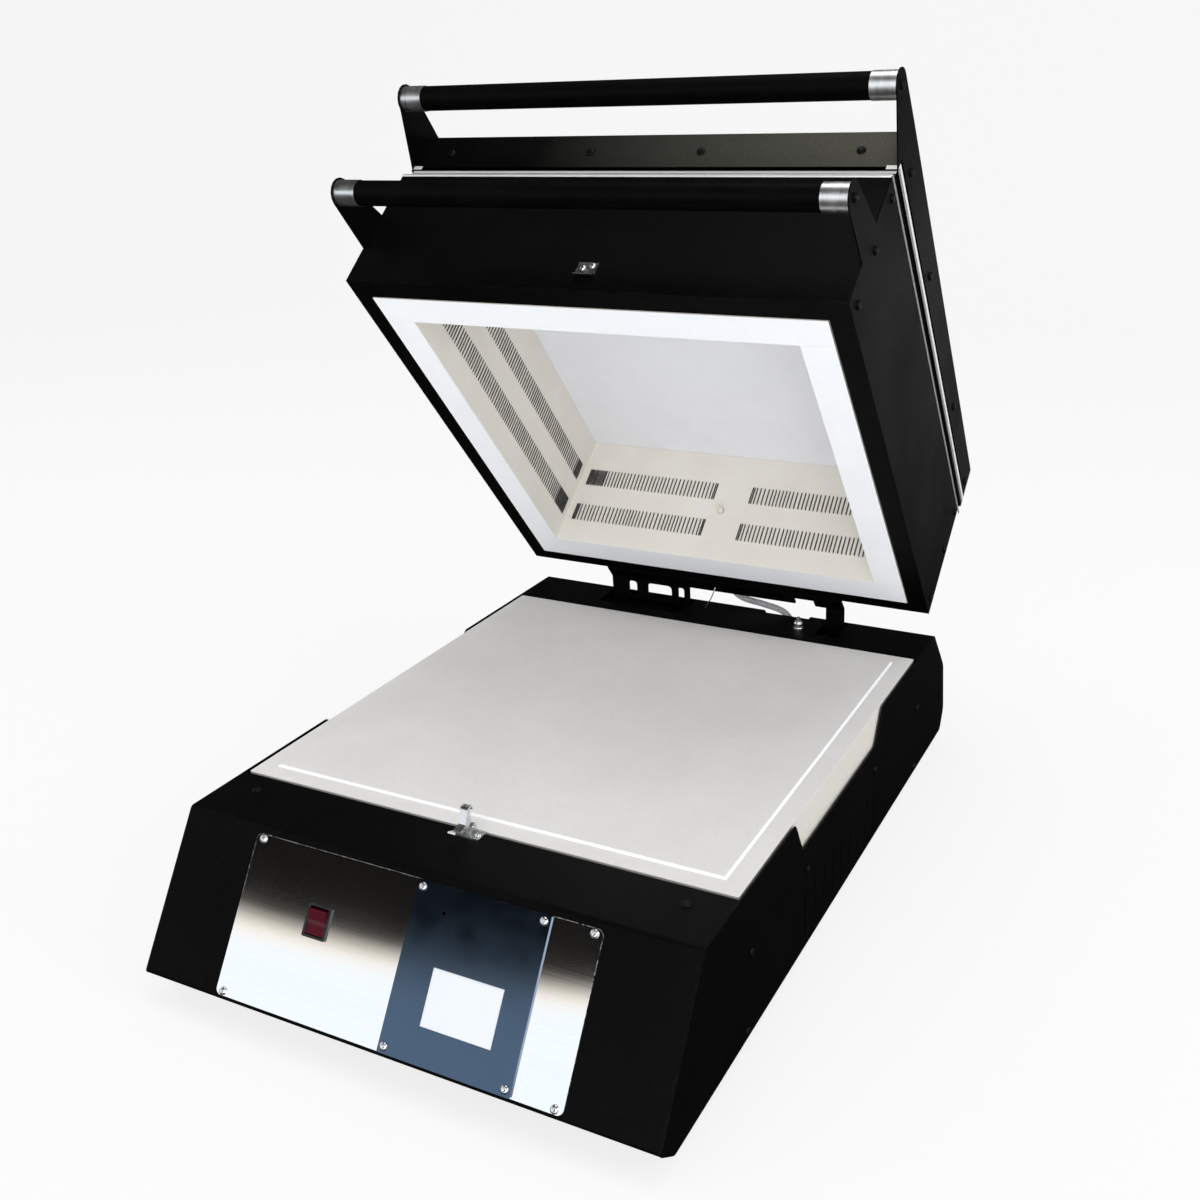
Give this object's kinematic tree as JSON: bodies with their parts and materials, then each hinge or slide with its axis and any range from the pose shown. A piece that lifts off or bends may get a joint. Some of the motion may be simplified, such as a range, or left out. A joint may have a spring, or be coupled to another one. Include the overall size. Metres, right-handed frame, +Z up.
{
  "type": "electric kiln",
  "caption": "Tabletop clamshell kiln: a low base with a fixed hearth, a heated chamber ring and an insulated lid that both tilt up at the back.",
  "frame": {"origin": "centre of the bounding box's footprint, on the plane the feet stand on, with the chamber ring standing open", "axes": "+X to the right seen from the front, +Y to the rear where the hinges are, +Z up"},
  "size_m": [0.5432, 0.92, 0.8048],
  "materials": {
    "black_coat": "fine-textured black powder coat",
    "coated_hardware": "black coated steel",
    "black_screws": "black oxide screws",
    "plain_sheet": "galvanised sheet, seen only from below and inside",
    "stainless": "brushed stainless steel",
    "bright_steel": "zinc-plated steel",
    "controller_black": "smooth dark overlay",
    "screen": "lit blank white display",
    "board": "solder-masked circuit board",
    "switch_body": "black switch housing",
    "switch_red": "red translucent rocker",
    "rubber_black": "black rubber",
    "electrics": "dark moulded relays",
    "winding": "varnished windings and core",
    "porcelain": "white glazed terminal strip",
    "hearth": "fine-grained warm light grey slab",
    "firebrick": "soft cream insulating brick",
    "fibre": "white insulation",
    "element_wire": "oxidised resistance wire",
    "sensor_tube": "cream ceramic tube",
    "sleeve": "grey braided sleeve",
    "grip_black": "black foam-like grip"
  },
  "bodies": {
    "base": {"base_side_left": "black_coat", "base_side_right": "black_coat", "front_cover": "black_coat", "floor_pan": "plain_sheet", "rear_hood": "black_coat", "hearth_slab": "hearth", "slab_tray": "plain_sheet", "feet": "rubber_black", "base_screws": "black_screws", "control_plate": "stainless", "controller_panel": "controller_black", "touch_screen": "screen", "controller_board": "board", "switch_bezel": "switch_body", "panel_screws": "bright_steel", "power_relays": "electrics", "transformer": "winding", "terminal_block": "porcelain", "mains_inlet": "switch_body", "latch_base": "bright_steel", "hinge_beam": "coated_hardware", "hinge_rod": "bright_steel", "hinge_spring": "coated_hardware", "hood_bolt": "bright_steel", "sensor_lead": "sleeve"},
    "rocker": {"power_rocker": "switch_red"},
    "latch": {"latch_hook": "bright_steel"},
    "ring": {"ring_side_left": "black_coat", "ring_side_right": "black_coat", "ring_front": "black_coat", "ring_back": "black_coat", "ring_rim": "black_coat", "ring_trim": "stainless", "wall_front": "firebrick", "wall_back": "firebrick", "wall_left": "firebrick", "wall_right": "firebrick", "element_front": "element_wire", "element_back": "element_wire", "element_left": "element_wire", "element_right": "element_wire", "thermocouple": "sensor_tube", "catch_plate": "bright_steel", "ring_handle_bar": "bright_steel", "ring_grip": "grip_black", "ring_collars": "stainless", "ring_screws": "black_screws", "ring_hinge_plate": "coated_hardware", "lid_hinge_leaves": "coated_hardware", "lid_hinge_pins": "bright_steel"},
    "lid": {"lid_side_left": "black_coat", "lid_side_right": "black_coat", "lid_shell": "black_coat", "lid_band": "stainless", "lid_insulation": "fibre", "lid_handle_bar": "bright_steel", "lid_grip": "grip_black", "lid_collars": "stainless", "lid_screws": "black_screws", "lid_hinge_straps": "coated_hardware"}
  },
  "joints": [
    {"name": "ring_hinge", "type": "hinge", "parent": "base", "child": "ring", "pos_m": [0, 0.30879, 0.1414], "axis": [-1, 0, 0], "range_deg": [-49.67, 6], "deforming": ["sensor_lead"]},
    {"name": "lid_hinge", "type": "hinge", "parent": "ring", "child": "lid", "pos_m": [0, 0.41633, 0.29146], "axis": [-1, 0, 0], "range_deg": [0, 85]},
    {"name": "latch_pivot", "type": "hinge", "parent": "base", "child": "latch", "pos_m": [0.004, -0.30201, 0.1715], "axis": [-1, 0, 0], "range_deg": [-20, 13]},
    {"name": "rocker_pivot", "type": "hinge", "parent": "base", "child": "rocker", "pos_m": [-0.092, -0.40795, 0.10516], "axis": [-1, 0, 0], "range_deg": [0, 16]}
  ]
}
